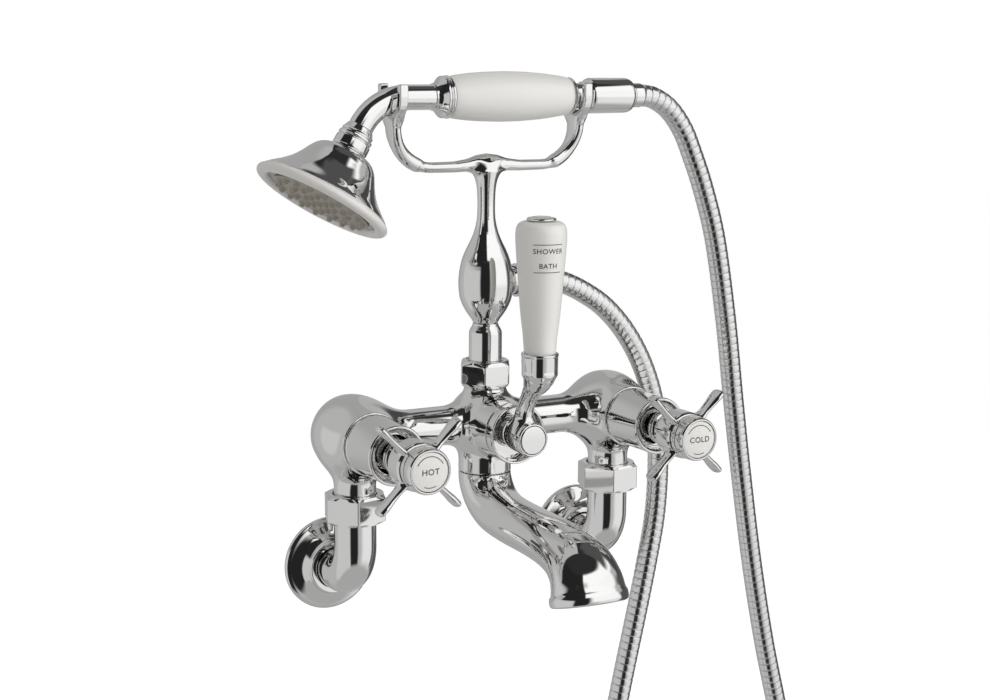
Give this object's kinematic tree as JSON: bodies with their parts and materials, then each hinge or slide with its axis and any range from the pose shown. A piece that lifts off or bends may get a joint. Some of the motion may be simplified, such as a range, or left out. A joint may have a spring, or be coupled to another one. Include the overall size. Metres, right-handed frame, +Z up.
{
  "type": "wall mounted bath faucet",
  "caption": "Wall mounted bath mixer with cross handles, diverter lever, curved spout and a hand shower lying in a forked cradle above it.",
  "frame": {"origin": "on the wall's surface, midway between the centres of the two wall flanges", "axes": "+X along the crossbar from the hot valve towards the cold valve, +Y into the wall, +Z up"},
  "size_m": [0.4019, 0.2114, 0.6243],
  "materials": {
    "chrome": "mirror-bright chrome plate on brass",
    "hose": "bright metal strip wound into ribs",
    "porcelain": "smooth off-white glaze",
    "rim": "smooth off-white ring",
    "brass": "turned, unpolished",
    "fibre": "red-brown fibre washer",
    "rubber": "black, matte",
    "ceramic": "lapped valve disc",
    "silicone": "soft grey-beige nozzles",
    "steel": "plain machined steel",
    "plate": "silver-grey moulded plate"
  },
  "bodies": {
    "mixer": {"cold_bonnet": "chrome", "cold_cartridge": "chrome", "cold_fixed_disc": "ceramic", "cold_inlet_washer": "fibre", "cold_seat_seal": "rubber", "cold_union_nut": "chrome", "cold_wall_elbow": "chrome", "cold_wall_flange": "chrome", "cradle": "chrome", "diverter_bonnet": "chrome", "diverter_cartridge": "chrome", "hose_nipple": "chrome", "hot_bonnet": "chrome", "hot_cartridge": "chrome", "hot_fixed_disc": "ceramic", "hot_inlet_washer": "fibre", "hot_seat_seal": "rubber", "hot_union_nut": "chrome", "hot_wall_elbow": "chrome", "hot_wall_flange": "chrome", "lower_hose_nut": "chrome", "lower_hose_washer": "rubber", "mixer_body": "chrome", "riser_nut": "chrome", "riser_pipe": "chrome", "riser_washer": "fibre", "shower_hose": "hose", "spout": "chrome", "spout_seal": "rubber"},
    "hot_valve": {"hot_moving_disc": "ceramic", "hot_spindle": "brass", "hot_handle": "chrome", "hot_handle_screw": "steel", "hot_index_bezel": "chrome", "hot_index_disc": "porcelain"},
    "cold_valve": {"cold_moving_disc": "ceramic", "cold_spindle": "brass", "cold_handle": "chrome", "cold_handle_screw": "steel", "cold_index_bezel": "chrome", "cold_index_disc": "porcelain"},
    "diverter_lever": {"diverter_rotor": "brass", "lever_arm": "chrome", "lever_screw": "steel", "lever_cap": "chrome", "lever_stud": "steel", "lever_grip": "porcelain", "lever_button": "chrome"},
    "hand_shower": {"handset_neck": "chrome", "front_collar": "chrome", "handset_barrel": "porcelain", "rear_collar": "chrome", "upper_hose_washer": "rubber", "hose_cone_nut": "chrome", "hose_ferrule": "chrome", "rose_collar": "chrome", "rose_bell": "chrome", "rose_rim": "rim", "spray_plate": "plate", "nozzle_mat": "silicone"}
  },
  "joints": [
    {"name": "hot_handle_turn", "type": "hinge", "parent": "mixer", "child": "hot_valve", "pos_m": [-0.09, -0.073, 0.09], "axis": [0, -1, 0], "range_deg": [0, 90]},
    {"name": "cold_handle_turn", "type": "hinge", "parent": "mixer", "child": "cold_valve", "pos_m": [0.09, -0.073, 0.09], "axis": [0, 1, 0], "range_deg": [0, 90]},
    {"name": "diverter_turn", "type": "hinge", "parent": "mixer", "child": "diverter_lever", "pos_m": [0, -0.073, 0.09], "axis": [0, -1, 0], "range_deg": [-45, 45]},
    {"name": "hand_shower_lift", "type": "slide", "parent": "mixer", "child": "hand_shower", "axis": [0, 0, 1], "range_m": [0, 0.06]}
  ]
}
